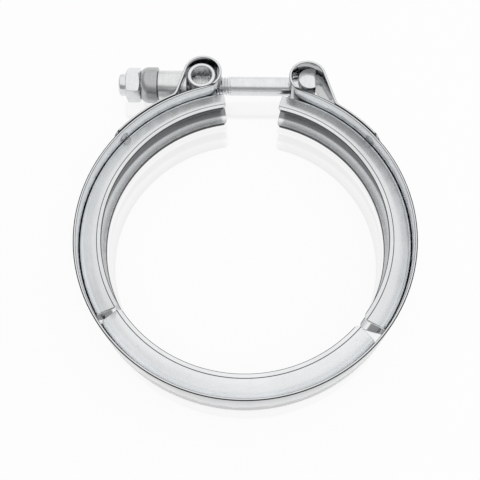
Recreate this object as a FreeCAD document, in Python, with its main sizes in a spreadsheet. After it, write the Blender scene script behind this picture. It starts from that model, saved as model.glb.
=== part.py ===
import FreeCAD, Part
import math
import os
import Sketcher
from FreeCAD import Vector

# V band clamp with a T-bolt: one strap, three V retainers welded inside it, and a bolt with
# its trunnion, sleeve, collar and lock nut across the gap. Millimetres, +Z up.
# The ring's axis is Z, its middle plane is z = 0, and the bolt runs along X on the +Y side.

document = FreeCAD.newDocument("v_band_clamp")

driving_sizes = [
    # strap
    ("band_inner_radius", 65.0),
    ("band_width", 20.0),
    ("band_thickness", 1.0),
    ("layer_gap", 0.05),
    ("strap_end_angle", 54.3),
    ("strap_end_round", 4.5),
    ("strap_bend_radius", 3.5),
    ("weld_angle", 50.5),
    ("weld_height", 5.5),
    ("weld_diameter", 3.6),
    # loops at the two ends of the strap
    ("left_loop_offset", 18.9),
    ("left_loop_slack", 0.9),
    ("left_lead", 4.0),
    ("left_landing_angle", 28.0),
    ("right_loop_offset", 25.0),
    ("right_loop_slack", 1.8),
    ("right_lead", 8.0),
    ("right_landing_angle", 34.5),
    ("shank_hole_clearance", 0.5),
    ("sleeve_hole_clearance", 0.35),
    # V retainers
    ("lip_depth", 9.3),
    ("retainer_width", 14.2),
    ("retainer_thickness", 1.5),
    ("flank_angle", 18.0),
    ("lip_land", 1.6),
    ("root_bend_radius", 2.0),
    ("lip_corner_round", 2.0),
    ("seat_gap", 0.05),
    ("cutter_margin", 4.0),
    ("top_gap_angle", 22.1),
    ("top_gap_clocking", 2.05),
    ("side_retainer_sweep", 114.9),
    ("side_end_rake", 16.8),
    ("left_joint_gap", 0.7),
    ("right_joint_gap", 2.9),
    # T-bolt
    ("trunnion_drop", 0.57),
    ("bolt_diameter", 8.0),
    ("bolt_recess", 0.2),
    ("bolt_point", 0.6),
    ("head_diameter", 9.8),
    ("head_flat", 2.4),
    ("head_length", 13.2),
    ("head_lean", 1.2),
    ("head_edge", 0.5),
    # trunnion, sleeve and collar
    ("trunnion_lean", 0.6),
    ("trunnion_diameter", 12.0),
    ("trunnion_bore", 8.5),
    ("trunnion_length", 17.0),
    ("trunnion_edge", 0.4),
    ("cross_hole_clearance", 0.2),
    ("sleeve_diameter", 12.6),
    ("sleeve_length", 12.7),
    ("sleeve_clearance", 0.25),
    ("sleeve_edge", 0.3),
    ("bearing_gap", 0.15),
    ("face_gap", 0.05),
    ("collar_diameter", 15.2),
    ("collar_length", 7.25),
    ("collar_nose_diameter", 11.6),
    ("collar_round", 4.0),
    ("collar_clearance", 0.1),
    # lock nut
    ("nut_across_flats", 13.0),
    ("nut_hex_length", 6.25),
    ("nut_face_diameter", 12.2),
    ("nut_chamfer_angle", 30.0),
    ("nut_clocking", 52.0),
    ("nut_neck_diameter", 9.4),
    ("nut_neck_length", 3.15),
    ("nut_neck_edge", 0.7),
    ("thread_clearance", 0.05),
]

sheet = document.addObject("Spreadsheet::Sheet", "dims")
for row, (alias, value) in enumerate(driving_sizes, start=1):
    sheet.set(f"A{row}", alias)
    sheet.set(f"B{row}", str(value))
    sheet.setAlias(f"B{row}", alias)
document.recompute()

START, END, CENTRE = range(1, 4)
ORIGIN = (-1, 1)
FLAT_AXIS = -1
UPRIGHT_AXIS = -2


def size(alias):
    """Reads one driving size from the sheet."""
    return float(sheet.get(alias))



def role_of(body, role):
    """Finds one of a body's own origin planes or axes."""
    return next(item for item in body.Origin.OriginFeatures if item.Role == role)


def new_body(name, **places):
    """Makes a named body; each place is an expression for one part of its placement."""
    body = document.addObject("PartDesign::Body", name)
    body.Label = name
    for path, expression in places.items():
        body.setExpression("Placement." + path.replace("_", "."), expression)
    return body


def new_sketch(body, name, plane):
    sketch = body.newObject("Sketcher::SketchObject", name)
    sketch.AttachmentSupport = [(role_of(body, plane), "")]
    sketch.MapMode = "FlatFace"
    return sketch


def add_size(sketch, kind, expression, *places):
    """Dimensions what is drawn at its present size, then ties it to the sheet."""
    if kind == "Radius":
        drawn = sketch.Geometry[places[0]].Radius
    elif kind == "Angle":
        line = sketch.Geometry[places[0]]
        run = line.EndPoint - line.StartPoint
        drawn = math.atan2(run.y, run.x)
    else:
        first = sketch.getPoint(places[0], places[1])
        second = sketch.getPoint(places[2], places[3])
        run = second - first
        drawn = {"DistanceX": run.x, "DistanceY": run.y, "Distance": run.Length}[kind]
    index = sketch.addConstraint(Sketcher.Constraint(kind, *places, drawn))
    sketch.setExpression(f"Constraints[{index}]", expression)


def add_point_x(sketch, expression, geometry, place):
    add_size(sketch, "DistanceX", expression, *ORIGIN, geometry, place)


def add_point_y(sketch, expression, geometry, place):
    add_size(sketch, "DistanceY", expression, *ORIGIN, geometry, place)


def join(sketch, kind, *places):
    sketch.addConstraint(Sketcher.Constraint(kind, *places))


def add_line(sketch, first, second):
    return sketch.addGeometry(Part.LineSegment(Vector(*first, 0), Vector(*second, 0)), False)


def add_arc(sketch, centre, radius, low, high):
    """An arc that runs anticlockwise from one angle in degrees to the other."""
    circle = Part.Circle(Vector(*centre, 0), Vector(0, 0, 1), radius)
    arc = Part.ArcOfCircle(circle, math.radians(low), math.radians(high))
    return sketch.addGeometry(arc, False)


def add_round(sketch, expression, centre, radius):
    """A full circle whose diameter is tied to the sheet."""
    circle = sketch.addGeometry(Part.Circle(Vector(*centre, 0), Vector(0, 0, 1), radius), False)
    add_size(sketch, "Radius", expression, circle)
    return circle


def add_outline(sketch, points):
    """Straight sides through the points and back to the first, joined end to start."""
    sides = [add_line(sketch, a, b) for a, b in zip(points, points[1:] + points[:1])]
    for side, following in zip(sides, sides[1:] + sides[:1]):
        join(sketch, "Coincident", side, END, following, START)
    return sides


def add_feature(body, kind, name, sketch=None, **settings):
    """Adds a PartDesign feature. Text settings that start with = are tied to the sheet."""
    feature = body.newObject("PartDesign::" + kind, name)
    if sketch is not None:
        feature.Profile = sketch
    for item, setting in settings.items():
        if isinstance(setting, str) and setting.startswith("="):
            feature.setExpression(item, setting[1:])
        else:
            setattr(feature, item, setting)
    document.recompute()
    if "Invalid" in feature.State:
        raise RuntimeError(f"{name} failed")
    return feature


def cut_feature(body, kind, name, sketch, **settings):
    """Adds a Pocket or a Groove and makes sure that it took material away."""
    before = body.Shape.Volume
    feature = add_feature(body, kind, name, sketch, **settings)
    if not body.Shape.Volume < before - 1e-6:
        raise RuntimeError(f"{name} cuts nothing")
    return feature


def edges_where(shape, test):
    """Names of the edges whose centre passes the test."""
    return [f"Edge{n}" for n, edge in enumerate(shape.Edges, start=1) if test(edge)]


def polar(radius, angle):
    return (radius * math.cos(math.radians(angle)), radius * math.sin(math.radians(angle)))


def heading(first, second):
    return math.degrees(math.atan2(second[1] - first[1], second[0] - first[0]))


# ---- the strap ----
# It runs round the ring, curls outward into a loop at each side of the gap and comes back down
# to lie on itself. Each stretch is tangent to the next; here they are worked out for the left
# end, anticlockwise from +X, and the right end is its mirror image with its own sizes.

TRUNNION_LOOP = {
    "offset": "left_loop_offset",
    "slack": "left_loop_slack",
    "lead": "left_lead",
    "landing": "left_landing_angle",
    "pin": "trunnion_diameter",
}
HEAD_LOOP = {
    "offset": "right_loop_offset",
    "slack": "right_loop_slack",
    "lead": "right_lead",
    "landing": "right_landing_angle",
    "pin": "head_diameter",
}


def loop_places(loop):
    """Centres, angles and centreline radii of one end of the strap."""
    wall = size("band_thickness")
    ring = size("band_inner_radius") + wall / 2
    layer = ring + wall + size("layer_gap")
    curl = size(loop["pin"]) / 2 + size(loop["slack"]) + wall / 2
    bend = size("strap_bend_radius") + wall / 2
    lead = size(loop["lead"])
    offset = size(loop["offset"])
    centre = (-offset, math.sqrt((ring + curl) ** 2 + lead ** 2 - offset ** 2))
    leave = heading((0, 0), centre) + math.degrees(math.atan2(lead, ring + curl))
    landing = 90 + size(loop["landing"])
    bend_centre = polar(layer + bend, landing)
    span = math.dist(centre, bend_centre)
    straight = math.sqrt(span ** 2 - (curl + bend) ** 2)
    turn = heading(centre, bend_centre) % 360 - math.degrees(math.atan2(straight, curl + bend))
    return {
        "centre": centre,
        "bend_centre": bend_centre,
        "leave": leave,
        "turn": turn,
        "landing": landing,
        "strap_end": 90 + size("strap_end_angle"),
        "radii": (ring, curl, bend, layer),
    }


# The bolt's line is set by the trunnion, which rests in the left loop a little below its middle.
BOLT_LINE = (
    "sqrt(pow(dims.band_inner_radius + dims.band_thickness + dims.trunnion_diameter / 2"
    " + dims.left_loop_slack; 2) + pow(dims.left_lead; 2) - pow(dims.left_loop_offset; 2))"
    " - dims.trunnion_drop")
TRUNNION_OFFSET = "dims.left_loop_offset + dims.trunnion_lean"
HEAD_OFFSET = "dims.right_loop_offset + dims.head_lean"


def bolt_line():
    return loop_places(TRUNNION_LOOP)["centre"][1] - size("trunnion_drop")


def along(centre, radius, angle):
    step = polar(radius, angle)
    return (centre[0] + step[0], centre[1] + step[1])


def add_rail(sketch, loop, mirrored, face):
    """Draws one face of one end: lead, loop, straight, reverse bend and outer layer.

    The face is 1 for the one that starts inside the ring and -1 for the one outside it.
    """
    places = loop_places(loop)
    half = face * size("band_thickness") / 2
    ring, curl, bend, layer = places["radii"]
    ring, curl, bend, layer = ring - half, curl + half, bend - half, layer + half
    centre, bend_centre = places["centre"], places["bend_centre"]
    leave, turn, landing = places["leave"], places["turn"], places["landing"]

    def flip(point):
        return (-point[0], point[1]) if mirrored else point

    def arc(middle, radius, low, high, clockwise=False):
        if mirrored:
            low, high = 180 - high, 180 - low
        index = add_arc(sketch, flip(middle), radius, low, high)
        first_is_start = clockwise == mirrored
        return (index, START, END) if first_is_start else (index, END, START)

    def line(first, second):
        return (add_line(sketch, flip(first), flip(second)), START, END)

    def far(middle, radius, angle):
        return along(middle, radius, angle)

    steps = [
        line(far((0, 0), ring, leave), far(centre, curl, leave + 180)),
        arc(centre, curl, leave - 180, turn),
        line(far(centre, curl, turn), far(bend_centre, bend, turn + 180)),
        arc(bend_centre, bend, landing + 180, turn + 180, clockwise=True),
        arc((0, 0), layer, landing, places["strap_end"]),
    ]
    for (before, _, last), (after, first, _) in zip(steps, steps[1:]):
        join(sketch, "Tangent", before, last, after, first)
    join(sketch, "Coincident", steps[4][0], CENTRE, *ORIGIN)
    outward = "+" if face > 0 else "-"
    loop_radius = f"dims.{loop['pin']} / 2 + dims.{loop['slack']}"
    if face > 0:
        loop_radius += " + dims.band_thickness"
    add_size(sketch, "Radius", loop_radius, steps[1][0])
    layer_radius = "dims.band_inner_radius + dims.band_thickness + dims.layer_gap"
    if face > 0:
        layer_radius += " + dims.band_thickness"
        add_size(sketch, "Radius", "dims.strap_bend_radius", steps[3][0])
    add_size(sketch, "Radius", layer_radius, steps[4][0])
    return steps


def add_strap_end(sketch, loop, mirrored):
    """Both faces of one end of the strap, and the cut across it."""
    sign = "" if mirrored else "-"
    outside = add_rail(sketch, loop, mirrored, 1)
    inside = add_rail(sketch, loop, mirrored, -1)
    add_point_x(sketch, f"{sign}dims.{loop['offset']}", outside[1][0], CENTRE)
    add_size(sketch, "Distance", f"dims.{loop['lead']}", outside[0][0], START, outside[0][0], END)
    reach = "dims.band_inner_radius + 2 * dims.band_thickness"
    reach += " + dims.layer_gap + dims.strap_bend_radius"
    landing = f"sin(dims.{loop['landing']})"
    add_point_x(sketch, f"{sign}({reach}) * {landing}", outside[3][0], CENTRE)
    join(sketch, "Coincident", inside[1][0], CENTRE, outside[1][0], CENTRE)
    join(sketch, "Coincident", inside[3][0], CENTRE, outside[3][0], CENTRE)
    first = sketch.getPoint(inside[4][0], inside[4][2])
    second = sketch.getPoint(outside[4][0], outside[4][2])
    cap = add_line(sketch, (first.x, first.y), (second.x, second.y))
    join(sketch, "Coincident", inside[4][0], inside[4][2], cap, START)
    join(sketch, "Coincident", outside[4][0], outside[4][2], cap, END)
    join(sketch, "PointOnObject", *ORIGIN, cap)
    angle = "90 - dims.strap_end_angle" if mirrored else "90 + dims.strap_end_angle"
    add_size(sketch, "Angle", f"({angle}) * 1 deg", cap)
    return outside, inside


def make_strap():
    body = new_body("band_strap")
    outline = new_sketch(body, "strap_outline", "XY_Plane")
    left = add_strap_end(outline, TRUNNION_LOOP, False)
    right = add_strap_end(outline, HEAD_LOOP, True)
    ring_radii = ("dims.band_inner_radius", "dims.band_inner_radius + dims.band_thickness")
    for left_rail, right_rail, radius in zip(left, right, ring_radii):
        start = outline.getPoint(left_rail[0][0], START)
        end = outline.getPoint(right_rail[0][0], START)
        low = heading((0, 0), start)
        high = heading((0, 0), end) + 360
        ring = add_arc(outline, (0, 0), start.Length, low, high)
        join(outline, "Coincident", ring, CENTRE, *ORIGIN)
        join(outline, "Tangent", ring, START, left_rail[0][0], START)
        join(outline, "Tangent", ring, END, right_rail[0][0], START)
        add_size(outline, "Radius", radius, ring)
    add_feature(body, "Pad", "strap", outline, SideType="Symmetric", Length="=dims.band_width")

    shank_hole = new_sketch(body, "shank_hole_outline", "YZ_Plane")
    hole = add_round(shank_hole, "dims.bolt_diameter / 2 + dims.shank_hole_clearance",
                     (bolt_line(), 0), size("bolt_diameter") / 2 + size("shank_hole_clearance"))
    join(shank_hole, "PointOnObject", hole, CENTRE, FLAT_AXIS)
    add_point_x(shank_hole, BOLT_LINE, hole, CENTRE)
    cut_feature(body, "Pocket", "shank_holes", shank_hole, SideType="Two sides",
                Length="=dims.left_loop_offset", Length2="=dims.right_loop_offset")

    sleeve_hole = new_sketch(body, "sleeve_hole_outline", "YZ_Plane")
    sleeve_hole.setExpression("AttachmentOffset.Base.z", "-dims.left_loop_offset")
    hole = add_round(sleeve_hole, "dims.sleeve_diameter / 2 + dims.sleeve_hole_clearance",
                     (bolt_line(), 0), size("sleeve_diameter") / 2 + size("sleeve_hole_clearance"))
    join(sleeve_hole, "PointOnObject", hole, CENTRE, FLAT_AXIS)
    add_point_x(sleeve_hole, BOLT_LINE, hole, CENTRE)
    cut_feature(body, "Pocket", "sleeve_hole", sleeve_hole, Type="ThroughAll")

    def strap_corner(edge):
        middle = edge.CenterOfMass
        off_top = abs(heading((0, 0), middle) - 90)
        at_end = abs(off_top - size("strap_end_angle")) < 0.01
        return at_end and abs(middle.z) > size("band_width") / 2 - 0.01

    corners = edges_where(body.Tip.Shape, strap_corner)
    rounds = add_feature(body, "Fillet", "strap_corners",
                         Base=(body.Tip, corners), Radius="=dims.strap_end_round")
    body.Tip = rounds

    for across in (-1, 1):
        for up in (-1, 1):
            add_nugget(body, across, up)
    return body


def add_nugget(body, across, up):
    """One spot weld, which joins the two layers near the end of the strap."""
    nugget = body.newObject("PartDesign::AdditiveCylinder", "spot_weld")
    nugget.setExpression("Radius", "dims.weld_diameter / 2")
    nugget.setExpression("Height", "dims.band_thickness + dims.layer_gap")
    angle = 90 - across * size("weld_angle")
    outward = Vector(*polar(1, angle), 0)
    nugget.Placement = FreeCAD.Placement(
        outward * (size("band_inner_radius") + size("band_thickness") / 2)
        + Vector(0, 0, up * size("weld_height")),
        FreeCAD.Rotation(Vector(0, 0, 1), outward))
    document.recompute()
    body.Tip = nugget


# ---- V retainers ----

def add_v_outline(sketch):
    """The rolled V section: lip, flank, web, flank, lip, drawn outside and inside."""
    slope = math.radians(size("flank_angle"))
    lean = size("flank_angle")
    wall = size("retainer_thickness")
    top = size("retainer_width") / 2
    web = size("band_inner_radius") - size("seat_gap")
    lip = size("band_inner_radius") - size("lip_depth")
    root_x = web - size("root_bend_radius") - wall
    fold = (lip + size("lip_land"), top)
    # the wall keeps its thickness round the fold, so its inner corner lies half the turn over
    inner_fold = (fold[0] - wall * math.tan(slope / 2), top - wall)

    def half(up, out):
        """One half of one face, from the lip to the web, and where it reaches the web."""
        start = fold if out > 0 else inner_fold
        root_bend = size("root_bend_radius") + out
        end_x = root_x + root_bend * math.sin(slope)
        end = (end_x, start[1] - (end_x - start[0]) * math.tan(slope))
        root_y = end[1] - root_bend * math.cos(slope)

        def place(point):
            return (point[0], up * point[1])

        land = (add_line(sketch, place((lip, start[1])), place(start)), START, END)
        flank = (add_line(sketch, place(start), place(end)), START, END)
        if up > 0:
            root = (add_arc(sketch, (root_x, root_y), root_bend, 0, 90 - lean), END, START)
        else:
            root = (add_arc(sketch, (root_x, -root_y), root_bend, lean - 90, 0), START, END)
        join(sketch, "Coincident", land[0], END, flank[0], START)
        join(sketch, "Tangent", flank[0], END, root[0], root[1])
        join(sketch, "Horizontal", land[0])
        return (land, flank, root), (root_x + root_bend, up * root_y)

    faces = []
    for out in (wall, 0):
        upper, high = half(1, out)
        lower, low = half(-1, out)
        web_line = add_line(sketch, high, low)
        join(sketch, "Tangent", upper[-1][0], upper[-1][2], web_line, START)
        join(sketch, "Tangent", lower[-1][0], lower[-1][2], web_line, END)
        faces.append((upper, lower, web_line))

    outside, inside = faces
    lip_x = "dims.band_inner_radius - dims.lip_depth"
    join(sketch, "Vertical", outside[2])
    add_point_x(sketch, "dims.band_inner_radius - dims.seat_gap", outside[2], START)
    for side, sign in ((0, ""), (1, "-")):
        outer, inner = outside[side], inside[side]
        outer_land, outer_flank, outer_root = [step[0] for step in outer]
        inner_land, inner_flank, inner_root = [step[0] for step in inner]
        add_point_x(sketch, lip_x, outer_land, START)
        add_point_y(sketch, f"{sign}dims.retainer_width / 2", outer_land, START)
        add_point_x(sketch, f"{lip_x} + dims.lip_land", outer_land, END)
        add_size(sketch, "Radius", "dims.root_bend_radius + dims.retainer_thickness", outer_root)
        turn = "-dims.flank_angle" if side == 0 else "dims.flank_angle"
        add_size(sketch, "Angle", f"{turn} * 1 deg", outer_flank)
        add_point_y(sketch, f"{sign}(dims.retainer_width / 2 - dims.retainer_thickness)",
                    inner_land, START)
        join(sketch, "Parallel", inner_flank, outer_flank)
        join(sketch, "Coincident", inner_root, CENTRE, outer_root, CENTRE)
        add_size(sketch, "Radius", "dims.root_bend_radius", inner_root)
        first = sketch.getPoint(outer_land, START)
        second = sketch.getPoint(inner_land, START)
        edge = add_line(sketch, (first.x, first.y), (second.x, second.y))
        join(sketch, "Coincident", outer_land, START, edge, START)
        join(sketch, "Coincident", inner_land, START, edge, END)
        join(sketch, "Vertical", edge)


def trim_end(body, name, at_far_end, sweep, rake):
    """Rounds the lip's corner in plan at one end of a retainer, and rakes the end back."""
    side = -1 if at_far_end else 1
    lean = size(rake) if rake else 0.0
    slope = math.radians(lean)
    lip = (size("band_inner_radius") - size("lip_depth"))
    corner = size("lip_corner_round")
    margin = size("cutter_margin")
    near = lip * math.cos(slope)
    slide = -near + math.sqrt(near ** 2 + 2 * lip * corner * (1 + math.sin(slope)))
    foot = (lip + slide * math.cos(slope), slide * math.sin(slope))
    centre = (foot[0] - corner * math.sin(slope), foot[1] + corner * math.cos(slope))
    touch_angle = heading((0, 0), centre)
    touch = polar(lip, touch_angle)
    reach = size("band_inner_radius") + margin
    far = (reach, (reach - lip) * math.tan(slope))
    inner = lip - margin

    def place(point):
        return (point[0], side * point[1])

    sketch = new_sketch(body, name + "_outline", "XY_Plane")
    if at_far_end:
        sketch.setExpression("AttachmentOffset.Rotation.Angle", f"({sweep}) * 1 deg")
    low, high = touch_angle + 180, 270 + lean
    if side < 0:
        low, high = 360 - high, 360 - low
    arc = add_arc(sketch, place(centre), corner, low, high)
    touch_end, foot_end = (START, END) if side > 0 else (END, START)
    points = [foot, far, (reach, -margin), (inner, -margin), (inner, touch[1]), touch]
    sides = [add_line(sketch, place(a), place(b)) for a, b in zip(points, points[1:])]
    for before, after in zip(sides, sides[1:]):
        join(sketch, "Coincident", before, END, after, START)
    join(sketch, "Tangent", arc, foot_end, sides[0], START)
    join(sketch, "Coincident", arc, touch_end, sides[4], END)
    join(sketch, "Vertical", sides[1])
    join(sketch, "Horizontal", sides[2])
    join(sketch, "Vertical", sides[3])
    join(sketch, "Horizontal", sides[4])
    sign = "" if side > 0 else "-"
    other = "-" if side > 0 else ""
    lip_circle = sketch.addGeometry(Part.Circle(Vector(0, 0, 0), Vector(0, 0, 1), lip), True)
    join(sketch, "Coincident", lip_circle, CENTRE, *ORIGIN)
    add_size(sketch, "Radius", "dims.band_inner_radius - dims.lip_depth", lip_circle)
    join(sketch, "Tangent", arc, touch_end, lip_circle)
    tip = sketch.addGeometry(Part.Point(Vector(lip, 0, 0)), True)
    join(sketch, "PointOnObject", tip, START, FLAT_AXIS)
    add_point_x(sketch, "dims.band_inner_radius - dims.lip_depth", tip, START)
    join(sketch, "PointOnObject", tip, START, sides[0])
    if rake:
        add_size(sketch, "Angle", f"{sign}dims.{rake} * 1 deg", sides[0])
    else:
        join(sketch, "Horizontal", sides[0])
    add_size(sketch, "Radius", "dims.lip_corner_round", arc)
    add_point_x(sketch, "dims.band_inner_radius + dims.cutter_margin", sides[0], END)
    add_point_y(sketch, f"{other}dims.cutter_margin", sides[1], END)
    add_point_x(sketch, "dims.band_inner_radius - dims.lip_depth - dims.cutter_margin", sides[2], END)
    cut_feature(body, "Pocket", name, sketch, SideType="Symmetric", Type="ThroughAll")


def make_retainer(name, start, sweep, start_rake=None, end_rake=None):
    """A rolled V segment from its start angle round to the end of its sweep, in degrees."""
    body = new_body(name, Rotation_Angle=f"({start}) * 1 deg")
    section = new_sketch(body, name + "_section", "XZ_Plane")
    add_v_outline(section)
    add_feature(body, "Revolution", name + "_roll", section,
                ReferenceAxis=(role_of(body, "Z_Axis"), [""]), Angle=f"={sweep}")
    trim_end(body, name + "_start_trim", False, sweep, start_rake)
    trim_end(body, name + "_end_trim", True, sweep, end_rake)
    return body


def make_retainers():
    gap = "dims.top_gap_angle / 2"
    top = "90 - dims.top_gap_clocking"
    side_sweep = "dims.side_retainer_sweep"
    left_start = f"{top} + {gap}"
    right_start = f"{top} - {gap} - {side_sweep}"
    lower_start = f"{left_start} + {side_sweep} + dims.left_joint_gap"
    lower_sweep = f"360 + {right_start} - dims.right_joint_gap - ({lower_start})"
    make_retainer("retainer_left", left_start, side_sweep, end_rake="side_end_rake")
    make_retainer("retainer_right", right_start, side_sweep, start_rake="side_end_rake")
    make_retainer("retainer_lower", lower_start, lower_sweep)


# ---- parts on the bolt's line ----

def add_bolt_bore(body, name, expression, radius):
    """A hole right through a part along the bolt's line."""
    sketch = new_sketch(body, name + "_outline", "YZ_Plane")
    hole = add_round(sketch, expression, (0, 0), radius)
    join(sketch, "Coincident", hole, CENTRE, *ORIGIN)
    cut_feature(body, "Pocket", name, sketch, SideType="Symmetric", Type="ThroughAll")


def add_bolt_disc(body, name, expression, radius, **settings):
    """A round bar along the bolt's line."""
    sketch = new_sketch(body, name + "_outline", "YZ_Plane")
    disc = add_round(sketch, expression, (0, 0), radius)
    join(sketch, "Coincident", disc, CENTRE, *ORIGIN)
    return add_feature(body, "Pad", name, sketch, **settings)


SLEEVE_FACE = (TRUNNION_OFFSET + " + dims.trunnion_diameter / 2 + dims.bearing_gap"
               " + dims.sleeve_length")
COLLAR_FACE = SLEEVE_FACE + " + dims.face_gap + dims.collar_length"
NUT_FACE = COLLAR_FACE + " + dims.face_gap"
BOLT_REACH = (NUT_FACE + " + dims.nut_hex_length + dims.nut_neck_length"
              " - dims.bolt_recess")


def make_bolt():
    body = new_body("t_bolt", Base_y=BOLT_LINE)
    add_bolt_disc(body, "shank", "dims.bolt_diameter / 2", size("bolt_diameter") / 2,
                  SideType="Two sides", Length="=" + HEAD_OFFSET, Length2="=" + BOLT_REACH)
    tip = body.Tip.Shape.BoundBox.XMin
    point = edges_where(body.Tip.Shape, lambda edge: abs(edge.CenterOfMass.x - tip) < 0.01)
    body.Tip = add_feature(body, "Chamfer", "bolt_point", Base=(body.Tip, point),
                           Size="=dims.bolt_point")

    sketch = new_sketch(body, "head_outline", "XY_Plane")
    radius = size("head_diameter") / 2
    middle = (size("right_loop_offset") + size("head_lean"))
    half_turn = math.degrees(math.acos(size("head_flat") / radius))
    arc = add_arc(sketch, (middle, 0), radius, half_turn, 360 - half_turn)
    upper = along((middle, 0), radius, half_turn)
    flat = add_line(sketch, (upper[0], -upper[1]), upper)
    join(sketch, "Coincident", arc, END, flat, START)
    join(sketch, "Coincident", flat, END, arc, START)
    join(sketch, "Vertical", flat)
    join(sketch, "PointOnObject", arc, CENTRE, FLAT_AXIS)
    add_point_x(sketch, HEAD_OFFSET, arc, CENTRE)
    add_point_x(sketch, HEAD_OFFSET + " + dims.head_flat", flat, START)
    add_size(sketch, "Radius", "dims.head_diameter / 2", arc)
    add_feature(body, "Pad", "cross_bar", sketch, SideType="Symmetric", Length="=dims.head_length")
    top = size("head_length") / 2
    rim = edges_where(body.Tip.Shape, lambda edge: abs(abs(edge.CenterOfMass.z) - top) < 0.01)
    body.Tip = add_feature(body, "Chamfer", "bar_edges", Base=(body.Tip, rim),
                           Size="=dims.head_edge")
    return body


def make_trunnion():
    body = new_body("trunnion", Base_x=f"-({TRUNNION_OFFSET})", Base_y=BOLT_LINE)
    sketch = new_sketch(body, "barrel_outline", "XY_Plane")
    for expression, radius in (("dims.trunnion_diameter / 2", size("trunnion_diameter") / 2),
                               ("dims.trunnion_bore / 2", size("trunnion_bore") / 2)):
        circle = add_round(sketch, expression, (0, 0), radius)
        join(sketch, "Coincident", circle, CENTRE, *ORIGIN)
    add_feature(body, "Pad", "barrel", sketch, SideType="Symmetric",
                Length="=dims.trunnion_length")
    top = size("trunnion_length") / 2
    rim = edges_where(body.Tip.Shape, lambda edge: abs(abs(edge.CenterOfMass.z) - top) < 0.01)
    body.Tip = add_feature(body, "Chamfer", "barrel_edges", Base=(body.Tip, rim),
                           Size="=dims.trunnion_edge")
    add_bolt_bore(body, "cross_hole", "dims.bolt_diameter / 2 + dims.cross_hole_clearance",
                  size("bolt_diameter") / 2 + size("cross_hole_clearance"))
    return body


def make_sleeve():
    """Its origin is at the end that the collar bears on."""
    body = new_body("sleeve", Base_x=f"-({SLEEVE_FACE})", Base_y=BOLT_LINE)
    add_bolt_disc(body, "tube", "dims.sleeve_diameter / 2", size("sleeve_diameter") / 2,
                  Length="=dims.sleeve_length")
    rim = edges_where(body.Tip.Shape, lambda edge: edge.Closed)
    body.Tip = add_feature(body, "Chamfer", "tube_edges", Base=(body.Tip, rim),
                           Size="=dims.sleeve_edge")
    add_bolt_bore(body, "tube_bore", "dims.bolt_diameter / 2 + dims.sleeve_clearance",
                  size("bolt_diameter") / 2 + size("sleeve_clearance"))
    return body


def make_collar():
    """Turned about the bolt's line; its origin is on the nose, where the nut bears."""
    body = new_body("thrust_collar", Base_x=f"-({COLLAR_FACE})", Base_y=BOLT_LINE)
    sketch = new_sketch(body, "collar_profile", "XY_Plane")
    bore = size("bolt_diameter") / 2 + size("collar_clearance")
    nose = size("collar_nose_diameter") / 2
    outside = size("collar_diameter") / 2
    dome = size("collar_round")
    length = size("collar_length")
    turn = math.degrees(math.acos(1 - (outside - nose) / dome))
    shoulder = dome * math.sin(math.radians(turn))
    arc = add_arc(sketch, (shoulder, outside - dome), dome, 90, 90 + turn)
    points = [(0, nose), (0, bore), (length, bore), (length, outside), (shoulder, outside)]
    sides = [add_line(sketch, a, b) for a, b in zip(points, points[1:])]
    for before, after in zip(sides, sides[1:]):
        join(sketch, "Coincident", before, END, after, START)
    join(sketch, "Coincident", arc, END, sides[0], START)
    join(sketch, "Tangent", sides[3], END, arc, START)
    for upright in (sides[0], sides[2]):
        join(sketch, "Vertical", upright)
    for flat in (sides[1], sides[3]):
        join(sketch, "Horizontal", flat)
    join(sketch, "PointOnObject", sides[0], START, UPRIGHT_AXIS)
    add_point_y(sketch, "dims.collar_nose_diameter / 2", sides[0], START)
    add_point_y(sketch, "dims.bolt_diameter / 2 + dims.collar_clearance", sides[1], START)
    add_point_x(sketch, "dims.collar_length", sides[2], START)
    add_point_y(sketch, "dims.collar_diameter / 2", sides[3], START)
    add_size(sketch, "Radius", "dims.collar_round", arc)
    add_feature(body, "Revolution", "turned_collar", sketch,
                ReferenceAxis=(role_of(body, "X_Axis"), [""]), Angle=360)
    return body


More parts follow.
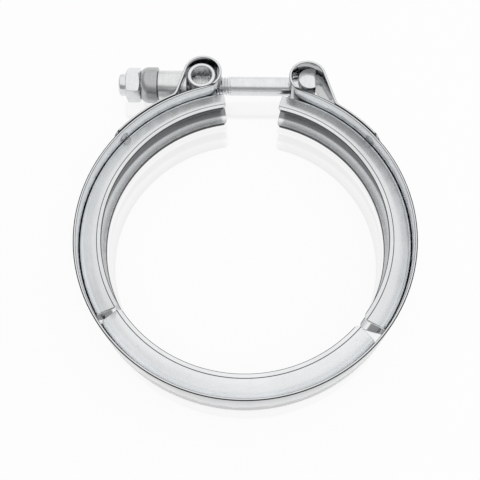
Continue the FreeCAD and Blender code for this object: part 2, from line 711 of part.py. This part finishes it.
def make_nut():
    """Its origin is on the face that bears on the collar; it is built towards -X."""
    body = new_body("lock_nut", Base_x=f"-({NUT_FACE})", Base_y=BOLT_LINE)
    sketch = new_sketch(body, "hexagon_outline", "YZ_Plane")
    sketch.setExpression("AttachmentOffset.Rotation.Angle", "dims.nut_clocking * 1 deg")
    corner = size("nut_across_flats") / math.sqrt(3)
    sides = add_outline(sketch, [polar(corner, 60 * n - 30) for n in range(6)])
    circle = sketch.addGeometry(Part.Circle(Vector(0, 0, 0), Vector(0, 0, 1), corner), True)
    join(sketch, "Coincident", circle, CENTRE, *ORIGIN)
    add_size(sketch, "Radius", "dims.nut_across_flats / sqrt(3)", circle)
    for side in sides:
        join(sketch, "PointOnObject", side, START, circle)
    for side in sides[1:]:
        join(sketch, "Equal", sides[0], side)
    join(sketch, "Vertical", sides[0])
    add_feature(body, "Pad", "hexagon", sketch, Reversed=True, Length="=dims.nut_hex_length")

    chamfer = new_sketch(body, "corner_cuts", "XY_Plane")
    face = size("nut_face_diameter") / 2
    clear = corner + size("cutter_margin")
    depth = (clear - face) * math.tan(math.radians(size("nut_chamfer_angle")))
    far = -size("nut_hex_length")
    for at, inward, sign in ((0, -1, "-"), (far, 1, "")):
        edge = [(at, face), (at + inward * depth, clear), (at, clear)]
        cut = add_outline(chamfer, edge)
        join(chamfer, "Horizontal", cut[1])
        join(chamfer, "Vertical", cut[2])
        if at == 0:
            join(chamfer, "PointOnObject", cut[0], START, UPRIGHT_AXIS)
        else:
            add_point_x(chamfer, "-dims.nut_hex_length", cut[0], START)
        add_point_y(chamfer, "dims.nut_face_diameter / 2", cut[0], START)
        add_point_y(chamfer, "dims.nut_across_flats / sqrt(3) + dims.cutter_margin", cut[1], END)
        lean = "90 + dims.nut_chamfer_angle" if inward < 0 else "90 - dims.nut_chamfer_angle"
        add_size(chamfer, "Angle", f"({lean}) * 1 deg", cut[0])
    cut_feature(body, "Groove", "chamfered_corners", chamfer,
                ReferenceAxis=(role_of(body, "X_Axis"), [""]), Angle=360)

    add_bolt_disc(body, "crimp_neck", "dims.nut_neck_diameter / 2", size("nut_neck_diameter") / 2,
                  Reversed=True, Length="=dims.nut_hex_length + dims.nut_neck_length")
    tip = -(size("nut_hex_length") + size("nut_neck_length"))
    rim = edges_where(body.Tip.Shape, lambda edge: abs(edge.CenterOfMass.x - tip) < 0.01)
    body.Tip = add_feature(body, "Chamfer", "crimp_edge", Base=(body.Tip, rim),
                           Size="=dims.nut_neck_edge")
    add_bolt_bore(body, "nut_bore", "dims.bolt_diameter / 2 + dims.thread_clearance",
                  size("bolt_diameter") / 2 + size("thread_clearance"))
    return body


make_strap()
make_retainers()
make_bolt()
make_trunnion()
make_sleeve()
make_collar()
make_nut()
document.recompute()

for item in document.Objects:
    if "Invalid" in item.State or "Error" in item.State:
        raise RuntimeError(f"{item.Name} failed: {item.State}")

bodies = [item for item in document.Objects if item.TypeId == "PartDesign::Body"]
for body in bodies:
    shape = body.Shape
    if shape.isNull() or not shape.isValid() or len(shape.Solids) != 1:
        raise RuntimeError(f"{body.Label} is not one valid solid")

os.makedirs("parts", exist_ok=True)
for body in bodies:
    body.Shape.exportStep(f"parts/{body.Label}.step")
    print(body.Label, round(body.Shape.Volume, 1))
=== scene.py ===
import bmesh
import bpy
import math
from mathutils import Matrix, Vector


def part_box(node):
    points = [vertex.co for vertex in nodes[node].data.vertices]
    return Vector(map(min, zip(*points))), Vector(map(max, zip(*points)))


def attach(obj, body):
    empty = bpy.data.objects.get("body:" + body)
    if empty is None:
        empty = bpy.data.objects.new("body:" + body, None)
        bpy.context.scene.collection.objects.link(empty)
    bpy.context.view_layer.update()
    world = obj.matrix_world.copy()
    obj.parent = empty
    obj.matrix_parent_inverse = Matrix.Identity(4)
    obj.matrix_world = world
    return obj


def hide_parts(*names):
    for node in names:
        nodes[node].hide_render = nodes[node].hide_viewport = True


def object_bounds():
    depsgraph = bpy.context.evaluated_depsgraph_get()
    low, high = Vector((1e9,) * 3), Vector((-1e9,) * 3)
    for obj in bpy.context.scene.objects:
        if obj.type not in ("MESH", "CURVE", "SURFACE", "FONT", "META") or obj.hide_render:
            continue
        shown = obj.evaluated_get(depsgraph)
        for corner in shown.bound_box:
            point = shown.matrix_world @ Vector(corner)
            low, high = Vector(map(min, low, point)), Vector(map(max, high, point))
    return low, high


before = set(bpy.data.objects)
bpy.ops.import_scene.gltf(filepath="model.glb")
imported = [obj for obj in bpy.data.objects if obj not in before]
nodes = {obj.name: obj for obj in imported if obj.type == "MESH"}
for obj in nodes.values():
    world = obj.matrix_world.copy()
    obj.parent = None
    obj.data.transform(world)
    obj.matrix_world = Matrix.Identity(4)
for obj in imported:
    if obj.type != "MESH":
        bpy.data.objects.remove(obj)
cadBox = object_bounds()
mm = 0.001

scene = bpy.context.scene
scene.view_settings.view_transform = "Standard"


class Wire:
    # One output socket, with arithmetic that adds math nodes to its tree.
    def __init__(self, shader, socket):
        self.shader = shader
        self.socket = socket

    def calc(self, operation, *others, clamp=False):
        node = self.shader.add("ShaderNodeMath", {"operation": operation, "use_clamp": clamp},
                               {0: self, **{n: other for n, other in enumerate(others, 1)}})
        return node[0]

    def __add__(self, other):
        return self.calc("ADD", other)

    def __radd__(self, other):
        return self.calc("ADD", other)

    def __sub__(self, other):
        return self.calc("SUBTRACT", other)

    def __rsub__(self, other):
        return (self * -1.0) + other

    def __mul__(self, other):
        return self.calc("MULTIPLY", other)

    def __rmul__(self, other):
        return self.calc("MULTIPLY", other)

    def __truediv__(self, other):
        return self.calc("DIVIDE", other)

    def __pow__(self, other):
        return self.calc("POWER", other)

    def abs(self):
        return self.calc("ABSOLUTE")

    def least(self, other):
        return self.calc("MINIMUM", other)

    def most(self, other):
        return self.calc("MAXIMUM", other)

    # 0 below low, 1 above high, smooth between
    def step(self, low, high):
        swap = low > high
        node = self.shader.add("ShaderNodeMapRange", {"interpolation_type": "SMOOTHSTEP"},
                               {"Value": self, "From Min": min(low, high),
                                "From Max": max(low, high),
                                "To Min": 1.0 if swap else 0.0, "To Max": 0.0 if swap else 1.0})
        return node[0]

    # 1 at a value, 0 further off than the width
    def band(self, middle, width):
        return (self - middle).abs().step(width, width * 0.4)


# The nodes of one material or world, which is the owner.
class Shader:
    def __init__(self, owner, ending="ShaderNodeOutputMaterial"):
        owner.use_nodes = True
        self.owner = owner
        self.tree = owner.node_tree
        self.tree.nodes.clear()
        self.end = self.tree.nodes.new(ending)

    # Makes any node: its type, its settings, then values or links for its inputs.
    def add(self, kind, settings=None, inputs=None):
        node = self.tree.nodes.new(kind)
        for key, value in (settings or {}).items():
            setattr(node, key, value)
        for key, value in (inputs or {}).items():
            if isinstance(value, Wire):
                self.tree.links.new(value.socket, node.inputs[key])
            else:
                node.inputs[key].default_value = value
        return [Wire(self, out) for out in node.outputs]

    def place(self):
        return self.add("ShaderNodeTexCoord")[3]

    def xyz(self, vector):
        return self.add("ShaderNodeSeparateXYZ", None, {0: vector})

    def point(self, x, y, z):
        return self.add("ShaderNodeCombineXYZ", None, {0: x, 1: y, 2: z})[0]

    def noise(self, vector, scale, detail=3.0, roughness=0.5):
        return self.add("ShaderNodeTexNoise", {"noise_dimensions": "3D"},
                        {"Vector": vector, "Scale": scale, "Detail": detail,
                         "Roughness": roughness})[0]

    def mix(self, factor, first, second):
        return self.add("ShaderNodeMix", {"data_type": "RGBA"},
                        {0: factor, 6: first, 7: second})[2]

    def finish(self, surface):
        self.tree.links.new(surface.socket, self.end.inputs["Surface"])

    def bump(self, height, distance, strength=1.0, normal=None):
        inputs = {"Height": height, "Distance": distance, "Strength": strength}
        if normal is not None:
            inputs["Normal"] = normal
        return self.add("ShaderNodeBump", None, inputs)[0]

    def metal(self, **inputs):
        named = {key.replace("_", " "): value for key, value in inputs.items()}
        self.finish(self.add("ShaderNodeBsdfPrincipled", None, named)[0])
        return self.owner


def grey(value):
    return (value, value, value, 1.0)


# Sheet and strip steel. Tones are shares of the light that comes back.
steelLook = {
    "tone": 0.80,
    "roughness": 0.24,
    "shadeLineTone": 0.07,
    "grainDepth": 0.012,
    "cloudScale": 60.0,
    "cloudTone": 0.20,
    "cloudRough": 0.12,
    "fineScale": 900.0,
    "fineTone": 0.08,
    "fineRough": 0.08,
    "lineScale": 520.0,
    "gritScale": 2600.0,
    "gritTone": 0.16,
    "markScale": 420.0,
    "markTone": 0.05,
    "markRough": 0.08,
}

# The strap: mill polished, with spot welds; its darker outer face is a painted dark reflection,
# and the dark lines at its sheared edges and rim are painted shade.
strapLook = {
    "halfWidth": 10.0,
    "edge": 0.24,
    "innerTo": 65.25,
    "innerTone": 0.86,
    "outerFrom": 65.7,
    "outerReflectionTone": 0.58,
    "outerRoughness": 0.12,
    "reflectionPatchTone": 0.20,
    "rimFrom": 65.5,
    "rimTo": 66.4,
    "weldAngle": 50.5,
    "weldHeight": 5.5,
    "weldRing": 1.7,
    "weldWidth": 0.6,
    "weldTone": 0.30,
    "weldRough": 0.15,
    "weldDepth": 0.10,
}

# The retainers: satin flanks, with painted shade lines at the fold and lip, painted shade in the
# groove, and a lighter inside and root bend that are painted light.
retainerLook = {
    "foldRadius": 57.4,
    "lipRadius": 55.7,
    "lipHeight": 6.8,
    "grooveRadius": 59.0,
    "grooveShadeTone": 0.30,
    "insideLightTone": 0.90,
    "insideShadeFade": 0.34,
    "rootRadius": 62.9,
    "rootLightTone": 0.93,
    "faceRadius": 57.06,
    "faceHeight": 5.6,
    "faceSlope": 0.325,
    "fadeFrom": 58.6,
    "fadeTo": 56.2,
}


# Tone, roughness and height that every rolled sheet shares.
def rolledSheet(s, place, look):
    x, y, z = s.xyz(place)
    radius = (x * x + y * y) ** 0.5
    fine = s.noise(s.point(x * 0.15, y * 0.15, z * 6.0), look["fineScale"], 2.0, 0.7)
    lines = s.noise(s.point(radius * 40.0, x * 3.0 + y * 2.0, z), look["lineScale"], 2.0, 0.6)
    cloud = s.noise(place, look["cloudScale"], 4.0, 0.6)
    grit = s.noise(place, look["gritScale"], 3.0, 0.7)
    marks = s.noise(place, look["markScale"], 5.0, 0.7).step(0.60, 0.72)
    tone = (look["tone"] + (cloud - 0.5) * look["cloudTone"] + (fine - 0.5) * look["fineTone"]
            + (grit - 0.5) * look["gritTone"] - marks * look["markTone"])
    rough = (look["roughness"] + (cloud - 0.5) * look["cloudRough"]
             + (fine - 0.5) * look["fineRough"] + marks * look["markRough"])
    height = fine + lines * 0.5 + grit * 0.6
    return x, y, z, radius, tone, rough, height


def steelColour(s, tone):
    return s.point(tone * 0.985, tone, tone * 1.012)


def strapSteel(name, look, strap):
    s = Shader(bpy.data.materials.new(name))
    place = s.place()
    x, y, z, radius, tone, rough, height = rolledSheet(s, place, look)
    high = z.abs() / mm
    wall = high.step(strap["halfWidth"] - 0.02, strap["halfWidth"] - strap["edge"] - 0.06)
    out = radius / mm
    outer = out.step(strap["outerFrom"] - 0.1, strap["outerFrom"] + 0.1) * wall
    # a mirror polish; the darker tone with long streaky patches round the ring is a painted dark
    # reflection
    reflectionPatches = s.noise(s.point(x * 0.4, y * 0.4, z * 5.0), 70.0, 3.0, 0.6) - 0.5
    outerReflectionTone = strap["outerReflectionTone"] + reflectionPatches * strap["reflectionPatchTone"]
    inner = out.step(strap["innerTo"] + 0.1, strap["innerTo"] - 0.1) * wall
    tone = tone + inner * (strap["innerTone"] - look["tone"])
    tone = tone + outer * (outerReflectionTone - tone)
    rough = rough + outer * (strap["outerRoughness"] - rough)
    # the dark lines at the edge corners and the top rim are painted shade
    corner = high.band(strap["halfWidth"] - strap["edge"] / 2, strap["edge"] * 0.55)
    rim = (out.step(strap["rimFrom"], strap["rimFrom"] + 0.12)
           * out.step(strap["rimTo"] + 0.1, strap["rimTo"] - 0.1)
           * high.step(strap["halfWidth"] - 0.5, strap["halfWidth"] - 0.4))
    tone = tone + corner.most(rim) * (look["shadeLineTone"] - tone)
    normal = s.bump(height, look["grainDepth"] * mm, 0.6)
    rings = None
    for side in (-1, 1):
        for up in (-1, 1):
            turn = math.radians(90 + side * strap["weldAngle"])
            across = (x * -math.sin(turn) + y * math.cos(turn)) / mm
            rise = z / mm - up * strap["weldHeight"]
            front = (x * math.cos(turn) + y * math.sin(turn)).step(50 * mm, 55 * mm)
            away = (across * across + rise * rise) ** 0.5
            ring = away.band(strap["weldRing"], strap["weldWidth"])
            mark = (ring + away.step(1.5, 0.4) * 0.3) * front
            rings = mark if rings is None else rings + mark
    tone = tone - rings * strap["weldTone"]
    rough = rough + rings * strap["weldRough"]
    normal = s.bump(rings, -strap["weldDepth"] * mm, 0.8, normal)
    return s.metal(Base_Color=steelColour(s, tone), Metallic=1.0, Roughness=rough, Normal=normal)


def retainerSteel(name, look, retainer):
    s = Shader(bpy.data.materials.new(name))
    place = s.place()
    x, y, z, radius, tone, rough, height = rolledSheet(s, place, look)
    high = z.abs() / mm
    out = radius / mm
    top = high.step(retainer["lipHeight"] - 0.1, retainer["lipHeight"] + 0.1)
    fold = out.band(retainer["foldRadius"], 0.22) * top
    lip = out.step(retainer["lipRadius"] + 0.32, retainer["lipRadius"] + 0.12)
    # inside the V the steel lies under the line from the lip to the web
    slant = (out - retainer["faceRadius"]) * retainer["faceSlope"]
    face = retainer["faceHeight"] - slant
    inside = (high - face).step(0.35, 0.15)
    # the inside of the V is painted lighter as painted light, and painted shade fades it darker
    # toward the lip
    fade = out.step(retainer["fadeFrom"], retainer["fadeTo"]) * retainer["insideShadeFade"]
    tone = tone + inside * (retainer["insideLightTone"] - fade - look["tone"])
    # the outer side at the root bend is painted lighter, as painted light that softens the shade
    # in the crevice
    root = out.step(retainer["rootRadius"] - 0.3, retainer["rootRadius"] + 0.3) * (1.0 - inside)
    tone = tone + root * (retainer["rootLightTone"] - look["tone"])
    # painted shade darkens the root of the V
    grooveShade = inside * out.step(retainer["grooveRadius"] - 0.4, retainer["grooveRadius"] + 0.4)
    tone = tone * (1.0 - grooveShade * (1.0 - retainer["grooveShadeTone"]))
    # the dark lines at the fold and the lip are painted shade
    dark = fold.most(lip)
    tone = tone + dark * (look["shadeLineTone"] - tone)
    normal = s.bump(height, look["grainDepth"] * mm, 0.6)
    return s.metal(Base_Color=steelColour(s, tone), Metallic=1.0, Roughness=rough, Normal=normal)


zincLook = {
    "tone": 0.80,
    "roughness": 0.22,
    "grainDepth": 0.010,
    "cloudTone": 0.20,
    "cloudRough": 0.16,
    "turnedTone": 0.10,
    "speckTone": 0.16,
    "speckRough": 0.10,
    "mattTone": 0.93,
    "mattRough": 0.35,
}


# Bright zinc over turned or cold formed steel. A matt patch has a middle and a half length.
def zincPlate(name, look, tint=0.0, matt=None):
    s = Shader(bpy.data.materials.new(name))
    place = s.place()
    x, y, z = s.xyz(place)
    cloud = s.noise(place, 160.0, 4.0, 0.6)
    speck = s.noise(place, 1400.0, 3.0, 0.6)
    turned = s.noise(s.point(x, y * 0.02, z * 0.02), 5200.0, 1.0, 0.5)
    tone = (look["tone"] + (cloud - 0.5) * look["cloudTone"]
            + (turned - 0.5) * look["turnedTone"] + (speck - 0.5) * look["speckTone"])
    colour = s.point(tone * (1.0 - tint), tone, tone * (1.0 + tint))
    rough = (look["roughness"] + (cloud - 0.5) * look["cloudRough"]
             + (speck - 0.5) * look["speckRough"])
    if matt:
        patch = (x / mm).band(matt[0], matt[1])
        rough = rough + patch * look["mattRough"]
        colour = s.mix(patch, colour, grey(look["mattTone"]))
    normal = s.bump(turned + speck * 0.6, look["grainDepth"] * mm, 0.5)
    return s.metal(Base_Color=colour, Metallic=1.0, Roughness=rough, Normal=normal)


# Rounds the edges sharper than the angle and shades the rest smooth.
def rounded(item, width, angle, segments):
    bevel = item.modifiers.new("bevel", "BEVEL")
    bevel.limit_method = "ANGLE"
    bevel.angle_limit = math.radians(angle)
    bevel.width = width * mm
    bevel.segments = segments
    bevel.harden_normals = True
    for face in item.data.polygons:
        face.use_smooth = True
    return bevel


def dress(name, material, edge):
    item = nodes[name]
    item.data.materials.clear()
    item.data.materials.append(material)
    weld = item.modifiers.new("weld", "WELD")  # joins the facets first
    weld.merge_threshold = 0.0005 * mm
    rounded(item, edge, 35, 3).use_clamp_overlap = False


bandSteel = strapSteel("bandSteel", steelLook, strapLook)
# the side retainers are a copy painted darker and the lower one a copy painted lighter, as painted
# shade and light; the lower one is also set duller
sidePaintedShadeSteel = retainerSteel("sidePaintedShadeSteel", dict(steelLook, tone=0.76), retainerLook)
lowerPaintedLightSteel = retainerSteel("lowerPaintedLightSteel", dict(steelLook, tone=0.84, roughness=0.28),
                           retainerLook)
zincSteel = zincPlate("zincSteel", zincLook, 0.015)
boltZinc = zincPlate("boltZinc", zincLook, 0.015, (-19.5, 7.0))
sleeveSteel = zincPlate("sleeveSteel", dict(zincLook, tone=0.76, roughness=0.24), 0.006)
collarSteel = zincPlate("collarSteel", dict(zincLook, tone=0.50, roughness=0.30), 0.008)

for name, material, edge in (
        ("band_strap", bandSteel, strapLook["edge"]),
        ("retainer_left", sidePaintedShadeSteel, 0.20),
        ("retainer_lower", lowerPaintedLightSteel, 0.20),
        ("retainer_right", sidePaintedShadeSteel, 0.20),
        ("trunnion", zincSteel, 0.15),
        ("sleeve", sleeveSteel, 0.15),
        ("thrust_collar", collarSteel, 0.25),
        ("lock_nut", zincSteel, 0.20)):
    dress(name, material, edge)
print("frame pieces dressed")


boltLook = {
    "radius": 4.0,
    "edge": 0.12,
    "pitch": 1.25,
    "threadDepth": 0.55,
    "threadLength": 47.6,
    "threadEnd": 1.6,
    "pointLength": 0.9,
    "pointDrop": 0.6,
    "steps": 64,
    "rowsPerTurn": 10,
    "plainRows": (0.4, 4, 12),
    "headDiameter": 9.8,
    "headFlat": 2.4,
    "headMiddle": 26.2,
    "headEdge": 0.25,
    "headSteps": 40,
}


# Depth below the crest along one turn of the thread: 0 at the crest, 1 at the root.
def threadProfile(share):
    share = share % 1.0
    wave = abs(share - 0.5) * 2.0
    return min(max((0.86 - wave) / 0.66, 0.0), 1.0)


def makeBolt(look):
    low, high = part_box("t_bolt")
    centreY = (low.y + high.y) / 2
    radius = look["radius"] * mm
    start = low.x
    threadEnd = start + look["threadLength"] * mm
    bar = look["headMiddle"] * mm
    mesh = bmesh.new()
    places = []
    rows = int(look["threadLength"] / look["pitch"] * look["rowsPerTurn"])
    for n in range(rows + 1):
        places.append(start + (threadEnd - start) * n / rows)
    places += [threadEnd + row * mm for row in look["plainRows"]] + [bar]
    rings = []
    for x in places:
        ring = []
        for k in range(look["steps"]):
            turn = math.tau * k / look["steps"]
            fade = min(1.0, max(0.0, (threadEnd - x) / (look["threadEnd"] * mm)))
            point = min(1.0, (x - start) / (look["pointLength"] * mm))
            dip = look["threadDepth"] * threadProfile((x - start) / (look["pitch"] * mm)
                                                      - k / look["steps"]) * fade
            out = radius - dip * mm - (1.0 - point) * look["pointDrop"] * mm
            ring.append(mesh.verts.new((x, centreY + out * math.cos(turn), out * math.sin(turn))))
        rings.append(ring)
    for first, second in zip(rings, rings[1:]):
        for k in range(look["steps"]):
            j = (k + 1) % look["steps"]
            mesh.faces.new((first[k], first[j], second[j], second[k]))
    mesh.faces.new(list(reversed(rings[0])))
    mesh.faces.new(rings[-1])
    addBar(mesh, look, bar, centreY, low.z, high.z)
    data = bpy.data.meshes.new("tBolt")
    bmesh.ops.recalc_face_normals(mesh, faces=mesh.faces)
    mesh.to_mesh(data)
    mesh.free()
    bolt = bpy.data.objects.new("tBolt", data)
    scene.collection.objects.link(bolt)
    data.materials.append(boltZinc)
    rounded(bolt, look["edge"], 60, 2)
    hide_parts("t_bolt")
    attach(bolt, "clamp")


# The upright D bar: its outline, drawn in a little at both ends.
def addBar(mesh, look, middleX, middleY, bottom, top):
    radius = look["headDiameter"] / 2
    half = math.acos(look["headFlat"] / radius)
    steps = look["headSteps"]
    edge = look["headEdge"] * mm
    levels = ((bottom, 1.0), (bottom + edge, 0.0), (top - edge, 0.0), (top, 1.0))
    rings = []
    for z, drawn in levels:
        ring = []
        for k in range(steps + 1):
            turn = half + (math.tau - 2 * half) * k / steps
            inset = look["headEdge"] * drawn
            out = radius - inset
            x = min(out * math.cos(turn), look["headFlat"] - inset)
            ring.append(mesh.verts.new((middleX + x * mm, middleY + out * math.sin(turn) * mm, z)))
        rings.append(ring)
    for first, second in zip(rings, rings[1:]):
        for k in range(steps + 1):
            j = (k + 1) % (steps + 1)
            mesh.faces.new((first[k], first[j], second[j], second[k]))
    mesh.faces.new(list(reversed(rings[0])))
    mesh.faces.new(rings[-1])


makeBolt(boltLook)
print("bolt made")


studioLook = {
    "floorHalf": 3.0,
    "floorTone": 0.86,
    "floorWhite": 0.92,
    "mirror": 0.13,
    "mirrorRough": 0.03,
    "low": 0.95,
    "high": 1.0,
    "highFrom": (0.2, 0.7),
    "dark": 0.36,
    "beltFrom": (0.14, 0.24),
    "beltTo": (0.66, 0.40),
    "lean": (0.20, 0.35),
    "lampPlace": (0.75, 0.1, 0.45),
    "lampSize": 0.4,
    "lampPower": 0.8,
}

cameraLook = {
    "lens": 57.16,
    "distance": 301.0,
    "elevation": 68.245,
    "azimuth": -2.848,
    "roll": -1.835,
    "target": (-1.95, -1.14, 0.0),
}


def makeFloor(look):
    low, high = cadBox
    mesh = bmesh.new()
    half = look["floorHalf"]
    corners = [mesh.verts.new((x, y, low.z)) for x, y in
               ((-half, -half), (half, -half), (half, half), (-half, half))]
    mesh.faces.new(corners)
    data = bpy.data.meshes.new("floor")
    mesh.to_mesh(data)
    mesh.free()
    floor = bpy.data.objects.new("floor", data)
    scene.collection.objects.link(floor)
    s = Shader(bpy.data.materials.new("floorSheet"))
    path = s.add("ShaderNodeLightPath")  # 0, 3 and 6 are the camera, glossy and transmission rays
    seen = (path[0] + path[3] + path[6]).least(1.0)
    paper = s.add("ShaderNodeBsdfDiffuse", None, {"Color": grey(look["floorTone"])})[0]
    glow = s.add("ShaderNodeEmission", None, {"Color": grey(1.0), "Strength": 1.0})[0]
    gloss = s.add("ShaderNodeBsdfGlossy", None,
                  {"Color": grey(1.0), "Roughness": look["mirrorRough"]})[0]
    white = s.add("ShaderNodeMixShader", None,
                  {0: seen * look["floorWhite"], 1: paper, 2: glow})[0]
    s.finish(s.add("ShaderNodeMixShader", None, {0: look["mirror"], 1: white, 2: gloss})[0])
    data.materials.append(s.owner)


# A pale room with a dark belt above the horizon and a bright ceiling.
def makeWorld(look):
    world = bpy.data.worlds.new("studio")
    scene.world = world
    s = Shader(world, "ShaderNodeOutputWorld")
    x, y, z = s.xyz(s.add("ShaderNodeTexCoord")[0])
    lift = z + x * look["lean"][0] + y * look["lean"][1]
    belt = z.step(*look["beltFrom"]) * lift.step(*look["beltTo"])
    level = look["low"] + z.step(*look["highFrom"]) * (look["high"] - look["low"])
    level = level + belt * (look["dark"] - level)
    s.finish(s.add("ShaderNodeBackground", None,
                   {"Color": s.point(level, level, level), "Strength": 1.0})[0])


# One square lamp that faces the ring and shows in no reflection.
def makeLamp(look):
    lamp = bpy.data.lights.new("sideLight", "AREA")
    lamp.shape = "SQUARE"
    lamp.size = look["lampSize"]
    lamp.energy = look["lampPower"]
    item = bpy.data.objects.new("sideLight", lamp)
    item.location = look["lampPlace"]
    item.rotation_euler = (-Vector(look["lampPlace"])).to_track_quat("-Z", "Y").to_euler()
    item.visible_glossy = False
    scene.collection.objects.link(item)


def makeCamera(look):
    data = bpy.data.cameras.new("camera")
    data.lens = look["lens"]
    data.sensor_width = 36.0
    data.clip_start = 0.01
    camera = bpy.data.objects.new("camera", data)
    scene.collection.objects.link(camera)
    rise = math.radians(look["elevation"])
    turn = math.radians(look["azimuth"])
    back = Vector((-math.sin(turn) * math.cos(rise), -math.cos(turn) * math.cos(rise),
                   math.sin(rise)))
    camera.location = Vector(look["target"]) * mm + back * look["distance"] * mm
    rotation = back.to_track_quat("Z", "Y").to_matrix()
    roll = Matrix.Rotation(math.radians(look["roll"]), 3, "Z")
    camera.rotation_euler = (rotation @ roll).to_euler()
    scene.camera = camera


makeFloor(studioLook)
makeWorld(studioLook)
makeLamp(studioLook)
makeCamera(cameraLook)
print("stage ready")
